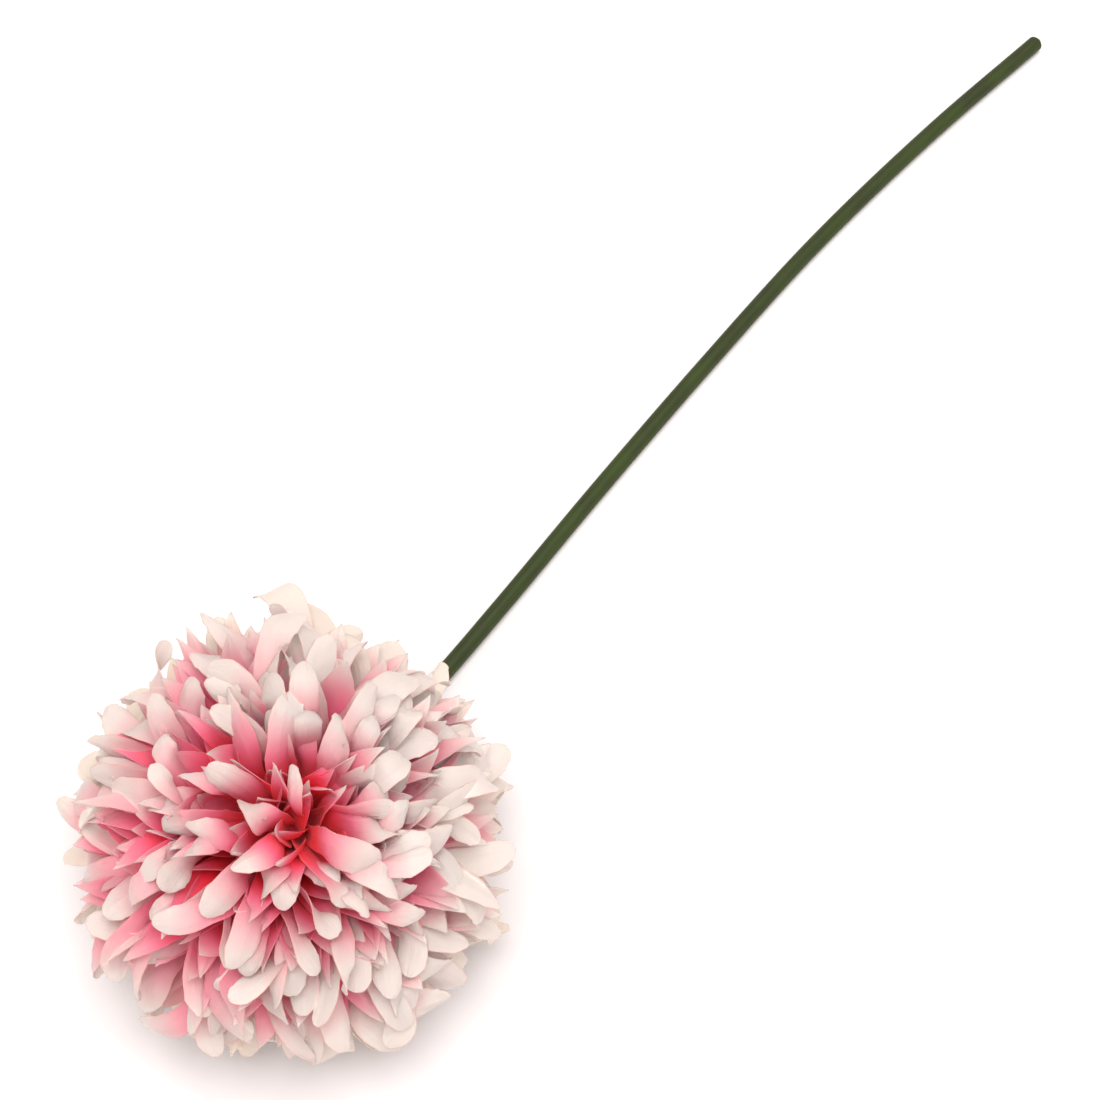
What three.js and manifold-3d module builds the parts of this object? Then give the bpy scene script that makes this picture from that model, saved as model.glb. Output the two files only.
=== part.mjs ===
// Pompon chrysanthemum on a single cut stem, of the everlasting kind: a ball of fabric petals
// on a round core, a moulded calyx behind it, and a wire stem in a plastic sleeve.
// It lies on a surface with its face up, its neck bent behind the bloom.
// Millimetres. +Z is up, the surface is z = 0, and +X runs along the stem to its cut end.
import * as THREE from 'three';
import { mergeVertices } from 'three/addons/utils/BufferGeometryUtils.js';
import Module from 'manifold-3d';

const wasm = await Module();
wasm.setup();

// Bloom
const BLOOM_RADIUS = 78; // from the middle out to the petals' tips
const BLOOM_HEIGHT = 53; // the middle's height, with the lowest petals pressed on the surface
const FACE_TILT = 18; // degrees between the way the bloom faces and straight up
const FACE_HEADING = -120; // degrees from +X to the side that it faces
const CORE_RADIUS = 32; // the core is a ball, cut flat behind
const CORE_BACK = 20; // from the middle to the core's flat back
const CORE_SIDES = 16;

// Petals. Lengths along a petal are given as parts of its length, from 0 at the root to 1.
const PETALS = 220;
const PETAL_SEED = 20;
const GOLDEN_ANGLE = 137.50776; // degrees from each petal to the next
const LAST_TIP_POLAR = 150; // degrees from the face to the rearmost tips
const ROOT_POLAR = 0.9; // a petal's root lies this much of the way round to its tip
const CENTRE_SPREAD = 34; // degrees from the face within which petals crowd together
const CENTRE_PULL = 0.42; // how much closer to the middle their roots are there
const POLAR_SWING = 7;
const TURN_SWING = 13;
const CENTRE_TURN_SWING = 10; // on top of the other one, in the middle of the face
const REACH_SWING = 0.08; // of the bloom's radius
const CENTRE_RECESS = 0.05; // how much lower the middle of the face is
const CENTRE_RECESS_SWING = 0.1;
const LEAN = 15; // degrees that a petal leans back along its length, more or less by as much
const SHARPEST_HOOK = 130; // degrees that a petal's end bends at most
const REAR_FROM = 85; // degrees from the face, where petals start to droop
const REAR_DROOP = 0.6; // degrees of hook for each degree behind that
const STEM_GAP_POLAR = 88; // the petals from here back are combed off the stem
const STEM_GAP_TURN = 15; // degrees to either side of the stem
const PETAL_ROOT = 9; // from the middle to where a petal starts, inside the core
const PETAL_THICKNESS = 1.5; // along the midrib; the edges are thin
const BASE_WIDTH = 0.3; // of the full width, at the root
const WIDENING = 1.8; // power by which it grows to the full width
const MIDRIB_STEPS = 24;
const TOUCH_DOWN = 6; // height below which a petal turns to lie along the surface
const FIRST_POINT = 0.12; // the sharp inner end, deep inside the core
const SAME_POINT = 1e-4; // corners closer than this are one
const SHORTEST_EDGE = 0.03; // slivers finer than this, where petals cross, are closed up

// Round-tipped petals with edges that roll back. Angles are in degrees; what is named a swing
// is drawn for each petal, up to that much either way.
const SPOON = {
  share: 0.43, // of all petals
  stations: [0.3, 0.55, 0.77, 0.93], // cross-sections
  reach: 1, // of the bloom's radius
  width: 10.6,
  widthSwing: 1.5,
  centreNarrowing: 0,
  widestAt: 0.72,
  narrowsFrom: 0.88,
  pointedness: 0.5,
  hookStart: 0.52, // beyond it the end bends back
  hookDelay: 0.22, // the latest start, past the one above
  centreDelay: 0.12, // in the middle of the face it starts later, by up to this
  hook: 50,
  hookForDelay: 36, // a late hook is a sharper one
  hookSwing: 48,
  centreHook: 45, // and bends further
  centreHookSwing: 40,
  sideSwing: 90,
  centreSideSwing: 10,
  twistSwing: 85,
  ridgeInFront: true,
};
// Pointed petals, folded along the middle like a shallow channel.
const BLADE = {
  stations: [0.3, 0.58, 0.81],
  reach: 0.955,
  width: 13,
  widthSwing: 2.2,
  centreNarrowing: 0.3,
  widestAt: 0.62,
  narrowsFrom: 0.62,
  pointedness: 1,
  hookStart: 0.5,
  hookDelay: 0,
  hook: 4,
  hookForDelay: 0,
  hookSwing: 34,
  centreDelay: 0,
  centreHook: 0,
  centreHookSwing: 0,
  sideSwing: 40,
  centreSideSwing: 0,
  twistSwing: 80,
  ridgeInFront: false,
};

// Stem
const STEM_RADIUS = 3.3;
const STEM_SIDES = 12;
const BORE_RADIUS = 1.7;
const BORE_SIDES = 6;
const WIRE_RADIUS = 1.2;
const WIRE_STICKS_OUT = 1; // past the sleeve at the cut end
const CLEARANCE = 0.35; // between pieces that touch
const SOCKET_DEPTH = 10; // from the bloom's middle to the stem's end inside it
const NECK_START = 30; // from the bloom's middle to the start of the bend
const NECK_BEND_RADIUS = 17;
const NECK_BEND_STEPS = 6;
const NECK_SLOPE = 6; // degrees below the horizontal where the bend ends
const STEM_LIES = [ // the stem's run: along, to the side, and its height off the surface
  [82, 10.7, 1.6],
  [126, 11.4, 0.4],
  [187, 13.1, 0],
  [259, 13.8, 0],
  [332, 12.8, 0],
  [406, 6.9, 0],
  [472, -1.8, 0],
];
const STEPS_PER_POINT = 3;

// Calyx
const CALYX_RIM = 16.2; // radius of its front, against the core
const CALYX_EDGE = 1.2; // thickness of its rim
const CALYX_CURVE = [ // radius of its outside, and distance from the bloom's middle
  [12.8, 24.7],
  [6.8, 27.6],
  [5.2, 30],
];
const CALYX_SIDES = 20;
const CALYX_RINGS = 6;

// Colours
const PETAL_PINK = 0xe596aa;
const STEM_GREEN = 0x45562e;
const CALYX_GREEN = 0x55673a;
const WIRE_GREY = 0xa9adb0;

const ALONG = new THREE.Vector3(1, 0, 0);
const SIDEWAYS = new THREE.Vector3(0, 1, 0);
const UP = new THREE.Vector3(0, 0, 1);
const { clamp, degToRad, lerp, radToDeg, smoothstep } = THREE.MathUtils;

// The bloom's own directions: face points out of its middle, toStem and across lie around it.
const middle = new THREE.Vector3(0, 0, BLOOM_HEIGHT);
const face = UP.clone().applyAxisAngle(SIDEWAYS, degToRad(FACE_TILT));
face.applyAxisAngle(UP, degToRad(FACE_HEADING));
const toStem = ALONG.clone().addScaledVector(face, -ALONG.dot(face)).normalize();
const across = new THREE.Vector3().crossVectors(face, toStem);

// Even draws from 0 to 1 that are the same on every run.
function seededDraws(seed) {
  let state = seed;
  return () => {
    state = (1664525 * state + 1013904223) % 4294967296;
    return state / 4294967296;
  };
}

// Where each petal grows and how it bends. Angles are in degrees.
function planPetal(index, draw) {
  const swing = () => 2 * draw() - 1;
  const polarDraw = swing();
  const turnDraw = swing();
  const kind = draw() < SPOON.share ? SPOON : BLADE;
  const reachDraw = swing();
  const widthDraw = swing();
  const leanDraw = swing();
  const hookDraw = swing();
  const sideDraw = swing();
  const twistDraw = swing();
  const centreDraw = swing();
  const recessDraw = draw();
  const delayDraw = draw();

  // Tips are spread evenly over the ball, up to the rearmost ones.
  const share = (index + 0.5) / PETALS;
  const tipPolar = radToDeg(Math.acos(lerp(1, Math.cos(degToRad(LAST_TIP_POLAR)), share)));
  const centre = Math.exp(-((tipPolar / CENTRE_SPREAD) ** 2)); // 1 in the middle of the face
  const pull = 1 - CENTRE_PULL * Math.exp(-tipPolar / CENTRE_SPREAD);
  const polar = Math.max(1, ROOT_POLAR * tipPolar * pull + POLAR_SWING * polarDraw);
  const turn = index * GOLDEN_ANGLE + (TURN_SWING + CENTRE_TURN_SWING * centre) * turnDraw;
  const recess = centre * (CENTRE_RECESS + CENTRE_RECESS_SWING * recessDraw);
  const reach = BLOOM_RADIUS * (1 + REACH_SWING * reachDraw) * (1 - recess);
  const rearHook = REAR_DROOP * Math.max(0, polar - REAR_FROM);
  const hookDraws = kind.hookSwing * hookDraw + kind.centreHookSwing * centre * centreDraw;
  const hook = kind.hook + kind.hookForDelay * delayDraw + kind.centreHook * centre + hookDraws;
  return {
    kind,
    polar,
    turn: combOffStem(polar, turn),
    reach: kind.reach * reach,
    lean: LEAN * (1 + leanDraw) * (1 - centre / 2),
    hookStart: kind.hookStart + kind.hookDelay * delayDraw + kind.centreDelay * centre,
    hook: Math.min(SHARPEST_HOOK, hook + rearHook),
    side: (kind.sideSwing + kind.centreSideSwing * centre) * sideDraw,
    twist: kind.twistSwing * twistDraw,
    width: (kind.width + kind.widthSwing * widthDraw) * (1 - kind.centreNarrowing * centre),
  };
}

// A rear petal that would lie on the stem is moved to one side of it.
function combOffStem(polar, turn) {
  const fromStem = ((turn + 180) % 360) - 180;
  if (polar < STEM_GAP_POLAR || Math.abs(fromStem) > STEM_GAP_TURN) return turn;
  return fromStem < 0 ? -STEM_GAP_TURN : STEM_GAP_TURN;
}

// The petal's own directions at its root.
function petalAxes(plan) {
  const polar = degToRad(plan.polar);
  const turn = degToRad(plan.turn);
  const spoke = toStem.clone().multiplyScalar(Math.cos(turn)).addScaledVector(across, Math.sin(turn));
  const out = face.clone().multiplyScalar(Math.cos(polar)).addScaledVector(spoke, Math.sin(polar));
  const back = face.clone().multiplyScalar(-Math.sin(polar)).addScaledVector(spoke, Math.cos(polar));
  const sideways = new THREE.Vector3().crossVectors(face, spoke);
  return { out, back, sideways };
}

// The way the midrib runs at a part t of its length: it leans back, hooks and swings to a side.
function midribDirection(plan, axes, t) {
  const hooked = smoothstep(t, plan.hookStart, 1);
  const bend = degToRad(plan.lean * t + plan.hook * hooked);
  const swing = degToRad(plan.side * t * t);
  return new THREE.Vector3()
    .addScaledVector(axes.out, Math.cos(swing) * Math.cos(bend))
    .addScaledVector(axes.back, Math.cos(swing) * Math.sin(bend))
    .addScaledVector(axes.sideways, Math.sin(swing));
}

// Points and directions along the midrib. Near the surface it turns to run along it.
function midrib(plan, axes) {
  const chord = new THREE.Vector3();
  let longestChord = 0;
  for (let step = 0; step < MIDRIB_STEPS; step++) {
    const direction = midribDirection(plan, axes, (step + 0.5) / MIDRIB_STEPS);
    chord.addScaledVector(direction, 1 / MIDRIB_STEPS);
    longestChord = Math.max(longestChord, chord.length());
  }
  const stride = (plan.reach - PETAL_ROOT) / longestChord / MIDRIB_STEPS;

  const point = middle.clone().addScaledVector(axes.out, PETAL_ROOT);
  const points = [point.clone()];
  for (let step = 0; step < MIDRIB_STEPS; step++) {
    const direction = midribDirection(plan, axes, (step + 0.5) / MIDRIB_STEPS);
    if (direction.z < 0) direction.z *= Math.sqrt(clamp(point.z / TOUCH_DOWN, 0, 1));
    point.addScaledVector(direction.normalize(), stride);
    points.push(point.clone());
  }
  return new THREE.CatmullRomCurve3(points);
}

// It widens from the root, then closes to a round or a pointed end.
function halfWidth({ kind, width }, t) {
  const widened = lerp(BASE_WIDTH, 1, Math.min(1, t / kind.widestAt) ** WIDENING);
  const closing = Math.max(0, (t - kind.narrowsFrom) / (1 - kind.narrowsFrom));
  return (width / 2) * widened * (1 - closing ** 2) ** kind.pointedness;
}

// Three corners of the petal's section at t: its two edges, and the ridge along its middle.
// Close to the surface the section turns level, and it never reaches below the surface.
function petalSection(plan, axes, rib, t) {
  const point = rib.getPoint(t);
  const direction = rib.getTangent(t);
  const side = axes.sideways.clone();
  side.addScaledVector(direction, -side.dot(direction)).normalize();
  side.applyAxisAngle(direction, degToRad(plan.twist * t * t));
  side.z *= clamp(point.z / TOUCH_DOWN, 0, 1);
  side.normalize();
  const front = new THREE.Vector3().crossVectors(direction, side).normalize();
  const half = halfWidth(plan, t);
  const corner = (sideways, forward) =>
    point.clone().addScaledVector(side, sideways).addScaledVector(front, forward);
  const left = corner(half, 0);
  const right = corner(-half, 0);
  const { ridgeInFront } = plan.kind;
  const ridge = corner(0, ridgeInFront ? PETAL_THICKNESS : -PETAL_THICKNESS);
  const corners = ridgeInFront ? [left, ridge, right] : [left, right, ridge];
  const sunk = Math.min(0, ...corners.map(({ z }) => z));
  for (const each of corners) each.z -= sunk;
  return corners;
}

// One closed blade: a root point, three-cornered sections and a tip point.
// All its faces are split along diagonals that lean the same way.
function petalGeometry(plan) {
  const axes = petalAxes(plan);
  const rib = midrib(plan, axes);
  const sections = plan.kind.stations.map((t) => petalSection(plan, axes, rib, t));
  const tip = rib.getPoint(1);
  tip.z = Math.max(tip.z, 0);
  const points = [rib.getPoint(FIRST_POINT), ...sections.flat(), tip];
  const last = points.length - 1;
  const faces = [];
  for (const [from, to] of [[0, 1], [1, 2], [2, 0]]) {
    faces.push([0, 1 + to, 1 + from]);
    faces.push([last, last - 3 + from, last - 3 + to]);
    for (let low = 1; low < last - 3; low += 3) {
      const high = low + 3;
      faces.push([low + from, low + to, high + to], [low + from, high + to, high + from]);
    }
  }
  const geometry = new THREE.BufferGeometry().setFromPoints(points);
  geometry.setIndex(faces.flat());
  return geometry;
}

// A closed geometry as a solid that can be joined and cut, and back.
function toSolid(geometry) {
  const shape = geometry.clone();
  shape.deleteAttribute('normal');
  shape.deleteAttribute('uv');
  const merged = mergeVertices(shape, SAME_POINT);
  return new wasm.Manifold(new wasm.Mesh({
    numProp: 3,
    vertProperties: Float32Array.from(merged.attributes.position.array),
    triVerts: Uint32Array.from(merged.index.array),
  }));
}

function toGeometry(solid) {
  const mesh = solid.getMesh();
  const geometry = new THREE.BufferGeometry();
  geometry.setAttribute('position', new THREE.BufferAttribute(mesh.vertProperties, 3));
  geometry.setIndex(new THREE.BufferAttribute(mesh.triVerts, 1));
  return geometry;
}

// The stem's middle line. It can start deeper in the socket, or end past the cut end.
function stemRoute(deeper = 0, past = 0) {
  const behind = (distance) => middle.clone().addScaledVector(face, -distance);
  const points = [behind(SOCKET_DEPTH - deeper), behind((SOCKET_DEPTH + NECK_START) / 2)];
  const turnAxis = across.clone().negate();
  const pivot = behind(NECK_START).addScaledVector(toStem, NECK_BEND_RADIUS);
  const spoke = toStem.clone().multiplyScalar(-NECK_BEND_RADIUS);
  const bend = 90 - NECK_SLOPE - radToDeg(Math.asin(-face.x));
  for (let step = 0; step <= NECK_BEND_STEPS; step++) {
    const angle = degToRad((bend * step) / NECK_BEND_STEPS);
    points.push(spoke.clone().applyAxisAngle(turnAxis, angle).add(pivot));
  }
  for (const [x, y, lift] of STEM_LIES) points.push(new THREE.Vector3(x, y, STEM_RADIUS + lift));
  const cut = points.at(-1);
  const run = cut.clone().sub(points.at(-2)).normalize();
  cut.addScaledVector(run, past);
  const route = new THREE.CatmullRomCurve3(points, false, 'centripetal');
  // Steps follow the points, so they are short at the neck and long where the stem is straight.
  route.getUtoTmapping = (u) => u;
  return route;
}

function regularPolygon(Kind, radius, sides) {
  const corners = [];
  for (let side = 0; side < sides; side++) {
    const angle = (2 * Math.PI * side) / sides;
    corners.push(new THREE.Vector2(radius * Math.cos(angle), radius * Math.sin(angle)));
  }
  return new Kind(corners);
}

function extrudeAlong(shape, route) {
  const steps = STEPS_PER_POINT * (route.points.length - 1);
  return new THREE.ExtrudeGeometry(shape, { steps, extrudePath: route, bevelEnabled: false });
}

// A ball cut flat behind, where the calyx sits. Its profile ends on its own axis.
function coreGeometry() {
  const rim = Math.asin(CORE_BACK / CORE_RADIUS);
  const arc = new THREE.Path().absarc(0, 0, CORE_RADIUS, -rim, Math.PI / 2);
  const profile = [new THREE.Vector2(0, -CORE_BACK), ...arc.getPoints(CORE_SIDES / 2)];
  profile.at(-1).x = 0;
  const core = new THREE.LatheGeometry(profile, CORE_SIDES);
  core.applyQuaternion(new THREE.Quaternion().setFromUnitVectors(SIDEWAYS, face));
  core.translate(middle.x, middle.y, middle.z);
  return core;
}

function bloomGeometry() {
  const draw = seededDraws(PETAL_SEED);
  let solid = toSolid(coreGeometry());
  for (let index = 0; index < PETALS; index++) {
    solid = solid.add(toSolid(petalGeometry(planPetal(index, draw))));
  }
  const socket = regularPolygon(THREE.Shape, STEM_RADIUS + CLEARANCE, STEM_SIDES);
  solid = solid.subtract(toSolid(extrudeAlong(socket, stemRoute(CLEARANCE))));
  // Sealed hollows and loose scraps are left out: the bloom is the largest piece.
  const pieces = solid.simplify(SHORTEST_EDGE).decompose();
  pieces.sort((one, other) => other.volume() - one.volume());
  return toGeometry(pieces[0]);
}

function sleeveGeometry() {
  const section = regularPolygon(THREE.Shape, STEM_RADIUS, STEM_SIDES);
  section.holes.push(regularPolygon(THREE.Path, BORE_RADIUS, BORE_SIDES));
  return extrudeAlong(section, stemRoute());
}

function wireGeometry() {
  return extrudeAlong(regularPolygon(THREE.Shape, WIRE_RADIUS, BORE_SIDES), stemRoute(0, WIRE_STICKS_OUT));
}

// A cup against the core's flat back, narrowing to a neck around the stem. Turned about +Y.
function calyxGeometry() {
  const hole = STEM_RADIUS + CLEARANCE;
  const front = CORE_BACK + CLEARANCE;
  const curve = CALYX_CURVE.map(([radius, behind]) => new THREE.Vector2(radius, behind));
  const wall = new THREE.SplineCurve([new THREE.Vector2(CALYX_RIM, front + CALYX_EDGE), ...curve]);
  const profile = [
    new THREE.Vector2(hole, front),
    new THREE.Vector2(CALYX_RIM, front),
    ...wall.getPoints(CALYX_RINGS),
    new THREE.Vector2(hole, curve.at(-1).y),
    new THREE.Vector2(hole, front),
  ];
  return new THREE.LatheGeometry(profile, CALYX_SIDES);
}

function paint(color, roughness, metalness = 0) {
  return new THREE.MeshStandardMaterial({ color, roughness, metalness });
}

function piece(name, geometry, material) {
  const mesh = new THREE.Mesh(geometry, material);
  mesh.name = name;
  return mesh;
}

const flower = new THREE.Group();
flower.add(piece('bloom', bloomGeometry(), paint(PETAL_PINK, 0.8)));
flower.add(piece('stem', sleeveGeometry(), paint(STEM_GREEN, 0.55)));
flower.add(piece('stem_wire', wireGeometry(), paint(WIRE_GREY, 0.35, 1)));

const calyx = piece('calyx', calyxGeometry(), paint(CALYX_GREEN, 0.6));
calyx.quaternion.setFromUnitVectors(SIDEWAYS, face.clone().negate());
calyx.position.copy(middle);
flower.add(calyx);

// The origin is on the surface, under the middle of the whole flower.
const group = new THREE.Group();
group.add(flower);
const box = new THREE.Box3().setFromObject(flower);
const centreOfBox = box.getCenter(new THREE.Vector3());
flower.position.set(-centreOfBox.x, -centreOfBox.y, -box.min.z);

export default group;
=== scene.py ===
# %% [markdown]
# # A pompon chrysanthemum on a wire stem
#
# This is the everlasting kind of flower. Six hundred and twenty fabric petals are gathered on
# one heart, a moulded calyx holds them from behind, and a plastic sleeve covers the wire of
# the stem. The packed model gives the sizes and the places. Everything here is dressed on
# that frame, in metres, in the frame's own directions: +Z is up and +X runs along the stem.

# %% Load the frame
import math

import bmesh
import bpy
import numpy as np
from mathutils import Matrix, Vector


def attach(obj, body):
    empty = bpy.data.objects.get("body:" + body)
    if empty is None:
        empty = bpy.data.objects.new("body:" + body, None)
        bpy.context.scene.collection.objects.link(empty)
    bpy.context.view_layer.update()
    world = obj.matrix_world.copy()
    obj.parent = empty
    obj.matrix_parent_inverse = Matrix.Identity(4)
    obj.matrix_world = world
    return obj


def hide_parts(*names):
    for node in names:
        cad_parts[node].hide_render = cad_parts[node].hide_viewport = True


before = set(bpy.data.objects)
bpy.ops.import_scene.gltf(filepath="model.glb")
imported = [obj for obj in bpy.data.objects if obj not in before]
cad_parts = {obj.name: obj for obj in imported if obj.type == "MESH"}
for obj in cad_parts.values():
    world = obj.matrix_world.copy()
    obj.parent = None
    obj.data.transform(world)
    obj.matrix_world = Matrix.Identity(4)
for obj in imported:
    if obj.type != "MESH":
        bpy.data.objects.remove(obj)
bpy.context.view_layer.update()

MM = 0.001
print("nodes:", sorted(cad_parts))

# %% [markdown]
# The bloom has its own directions. `FACE` points straight out of its middle: the flower lies
# on its back petals and leans 18 degrees to one side. `TO_STEM` and `ACROSS` lie around it.
# The frame's origin is under the middle of the whole flower, so the bloom's middle is far
# to one side of it. An empty could carry these directions, but vectors are easier to
# calculate with. Lengths are in millimetres from here on.

# %% Where the bloom is and which way it faces
BLOOM_RADIUS = 78.0
BLOOM_HEIGHT = 53.0
FACE_TILT = math.radians(18)
FACE_HEADING = math.radians(-120)

FACE = np.array([
    math.sin(FACE_TILT) * math.cos(FACE_HEADING),
    math.sin(FACE_TILT) * math.sin(FACE_HEADING),
    math.cos(FACE_TILT),
])
ALONG = np.array([1.0, 0.0, 0.0])
TO_STEM = ALONG - FACE * (ALONG @ FACE)
TO_STEM /= np.linalg.norm(TO_STEM)
ACROSS = np.cross(FACE, TO_STEM)

MIDDLE = np.array([-196.3581, -1.2262, BLOOM_HEIGHT])
print("bloom's middle, mm:", MIDDLE.round(1), " facing", FACE.round(3))

# %% [markdown]
# The camera looks down on the flower from 66 degrees above the table. A 75 mm lens from
# 80 cm away keeps the bloom round. The head then fills the lower left of the view, and the
# stem runs off to the upper right. A camera can be aimed by a constraint, but three
# directions written as a matrix leave nothing live in the scene.

# %% Camera
CAMERA_FROM_BLOOM = np.array([-125.2, -213.8, 758.9])
LOOK = Vector((0.3171, 0.2547, -0.9135)).normalized()
RIGHT = Vector((0.6262, -0.7797, 0.0)).normalized()

camera = bpy.data.objects.new("camera", bpy.data.cameras.new("camera"))
bpy.context.collection.objects.link(camera)
camera.data.lens = 75
camera.data.sensor_width = 36
camera.matrix_world = (
    Matrix.Translation((MIDDLE + CAMERA_FROM_BLOOM) * MM)
    @ Matrix((RIGHT, RIGHT.cross(LOOK), -LOOK)).transposed().to_4x4()
)
bpy.context.scene.camera = camera
print("camera at, m:", [round(c, 3) for c in camera.location])

# %% [markdown]
# ## The petals' rule
#
# Petals follow the golden angle round the bloom, as seeds do in a flower's head. Each one is
# drawn with twelve seeded numbers, in the same order as the frame's solids, so that each
# fabric petal lies where its solid is. Placing them by hand would take days, and a regular
# pattern would look machined. All angles in a rule or a plan are in degrees. `POLAR` is an
# angle from the face, and `TURN` is an angle round it. A `SWING` is how far a draw may move
# a value to either side.

# %% Numbers that all petals share
PETALS = 220
PETAL_SEED = 20
SPOON_SHARE = 0.43  # of all petals
GOLDEN_ANGLE = 137.50776
LAST_TIP_POLAR = 150.0  # how far round from the face the last petal's tip is
ROOT_POLAR = 0.9  # a root's angle as a part of its tip's
CENTRE_SPREAD = 34.0  # how wide the crowded centre of the face is
CENTRE_PULL = 0.42
POLAR_SWING = 7.0
TURN_SWING = 13.0
CENTRE_TURN_SWING = 10.0
REACH_SWING = 0.08
CENTRE_RECESS = 0.05
CENTRE_RECESS_SWING = 0.1
LEAN = 15.0
SHARPEST_HOOK = 130.0
REAR_FROM = 85.0
REAR_DROOP = 0.6
STEM_GAP_POLAR = 88.0
STEM_GAP_TURN = 15.0
print("petals in the rule:", PETALS, " tips up to", LAST_TIP_POLAR, "degrees round")

# %% [markdown]
# There are two cuts of petal. A spoon has a round end that hooks over, more so near the
# middle of the bloom. A blade is wider, pointed and nearly straight. Two dictionaries with
# the same words keep the rule itself free of questions about the cut.

# %% Numbers of the two cuts
SPOON = dict(
    reach=1.0, width=10.6, width_swing=1.5, centre_narrowing=0.0,
    widest_at=0.72, narrows_from=0.88, pointedness=0.5,
    hook_start=0.52, hook_delay=0.22, centre_delay=0.12,
    hook=50.0, hook_for_delay=36.0, hook_swing=48.0, centre_hook=45.0, centre_hook_swing=40.0,
    side_swing=90.0, centre_side_swing=10.0, twist_swing=85.0,
)
BLADE = dict(
    reach=0.955, width=13.0, width_swing=2.2, centre_narrowing=0.3,
    widest_at=0.62, narrows_from=0.62, pointedness=1.0,
    hook_start=0.5, hook_delay=0.0, centre_delay=0.0,
    hook=4.0, hook_for_delay=0.0, hook_swing=34.0, centre_hook=0.0, centre_hook_swing=0.0,
    side_swing=40.0, centre_side_swing=0.0, twist_swing=80.0,
)
print("a spoon is", SPOON["width"], "mm wide and a blade", BLADE["width"], "mm")

# %% [markdown]
# No two petals of a flower are alike, so each one needs some luck. Python's own random
# numbers would do in one program, but this small generator gives the same numbers in any
# language, so the frame's solids could be grown from them too.

# %% Seeded draws
DRAW_FACTOR = 1664525
DRAW_STEP = 1013904223
DRAW_RANGE = 2 ** 32


def seeded_draws(seed):
    """Even draws from 0 to 1 that are the same on every run."""
    state = seed
    while True:
        state = (DRAW_FACTOR * state + DRAW_STEP) % DRAW_RANGE
        yield state / DRAW_RANGE


first_draws = seeded_draws(PETAL_SEED)
print("first draws:", [round(next(first_draws), 3) for _ in range(3)])

# %% [markdown]
# A plan says where one petal grows and how it bends. The petals in the middle of the face
# are crowded and unruly, those behind droop, and none lies on the stem. A plan is a plain
# dictionary, so that later petals can start from one and change a few of its values.

# %% The plan of one petal
def closeness(polar):
    """1 in the middle of the face, falling softly towards 0 further round."""
    return math.exp(-((polar / CENTRE_SPREAD) ** 2))


def comb_off_stem(polar, turn):
    """A rear petal that would lie on the stem is moved to one side of it."""
    from_stem = math.fmod(turn + 180, 360) - 180
    if polar < STEM_GAP_POLAR or abs(from_stem) > STEM_GAP_TURN:
        return turn
    return -STEM_GAP_TURN if from_stem < 0 else STEM_GAP_TURN


def plan_petal(share, index, draw):
    """The share says how far the petal is from the first, at 0, to the last, at 1."""
    def swing():
        return 2 * next(draw) - 1

    polar_draw, turn_draw = swing(), swing()
    kind = SPOON if next(draw) < SPOON_SHARE else BLADE
    reach_draw, width_draw, lean_draw = swing(), swing(), swing()
    hook_draw, side_draw, twist_draw, centre_draw = swing(), swing(), swing(), swing()
    recess_draw, delay_draw = next(draw), next(draw)

    last = math.cos(math.radians(LAST_TIP_POLAR))
    tip_polar = math.degrees(math.acos(1 + share * (last - 1)))
    centre = closeness(tip_polar)
    pull = 1 - CENTRE_PULL * math.exp(-tip_polar / CENTRE_SPREAD)
    polar = max(1, ROOT_POLAR * tip_polar * pull + POLAR_SWING * polar_draw)
    turn = index * GOLDEN_ANGLE + (TURN_SWING + CENTRE_TURN_SWING * centre) * turn_draw
    recess = centre * (CENTRE_RECESS + CENTRE_RECESS_SWING * recess_draw)
    hook = kind["hook"] + kind["hook_for_delay"] * delay_draw
    hook += kind["hook_swing"] * hook_draw + kind["centre_hook_swing"] * centre * centre_draw
    hook += kind["centre_hook"] * centre + REAR_DROOP * max(0, polar - REAR_FROM)
    width = kind["width"] + kind["width_swing"] * width_draw
    return dict(
        kind=kind,
        polar=polar,
        tip_polar=tip_polar,
        turn=comb_off_stem(polar, turn),
        reach=kind["reach"] * BLOOM_RADIUS * (1 + REACH_SWING * reach_draw) * (1 - recess),
        lean=LEAN * (1 + lean_draw) * (1 - centre / 2),
        hook_start=kind["hook_start"] + kind["hook_delay"] * delay_draw + kind["centre_delay"] * centre,
        hook=min(SHARPEST_HOOK, hook),
        side=(kind["side_swing"] + kind["centre_side_swing"] * centre) * side_draw,
        twist=kind["twist_swing"] * twist_draw,
        width=width * (1 - kind["centre_narrowing"] * centre),
        chance=centre_draw,
    )


draw = seeded_draws(PETAL_SEED)
plans = [plan_petal((index + 0.5) / PETALS, index, draw) for index in range(PETALS)]
print("spoons:", sum(plan["kind"] is SPOON for plan in plans), "of", len(plans), "petals")

# %% [markdown]
# A petal's midrib starts straight out of the heart, leans back, hooks over towards its end
# and swings to a side. Near the table it turns to run along it, because the bloom rests on
# its lowest petals. Cloth physics could let them settle, but it is slow and hard to steer,
# so the midrib is followed in small steps that are each bent a little.

# %% Following a midrib
PETAL_ROOT = 9.0  # where a midrib starts, from the bloom's middle
MIDRIB_STEPS = 24
TOUCH_DOWN = 6.0  # height over the table at which a petal starts to turn level


def petal_axes(plan):
    """The ways out of the heart, back from the face, and to the petal's side."""
    polar, turn = math.radians(plan["polar"]), math.radians(plan["turn"])
    spoke = math.cos(turn) * TO_STEM + math.sin(turn) * ACROSS
    out = math.cos(polar) * FACE + math.sin(polar) * spoke
    back = math.cos(polar) * spoke - math.sin(polar) * FACE
    return out, back, np.cross(FACE, spoke)


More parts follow.
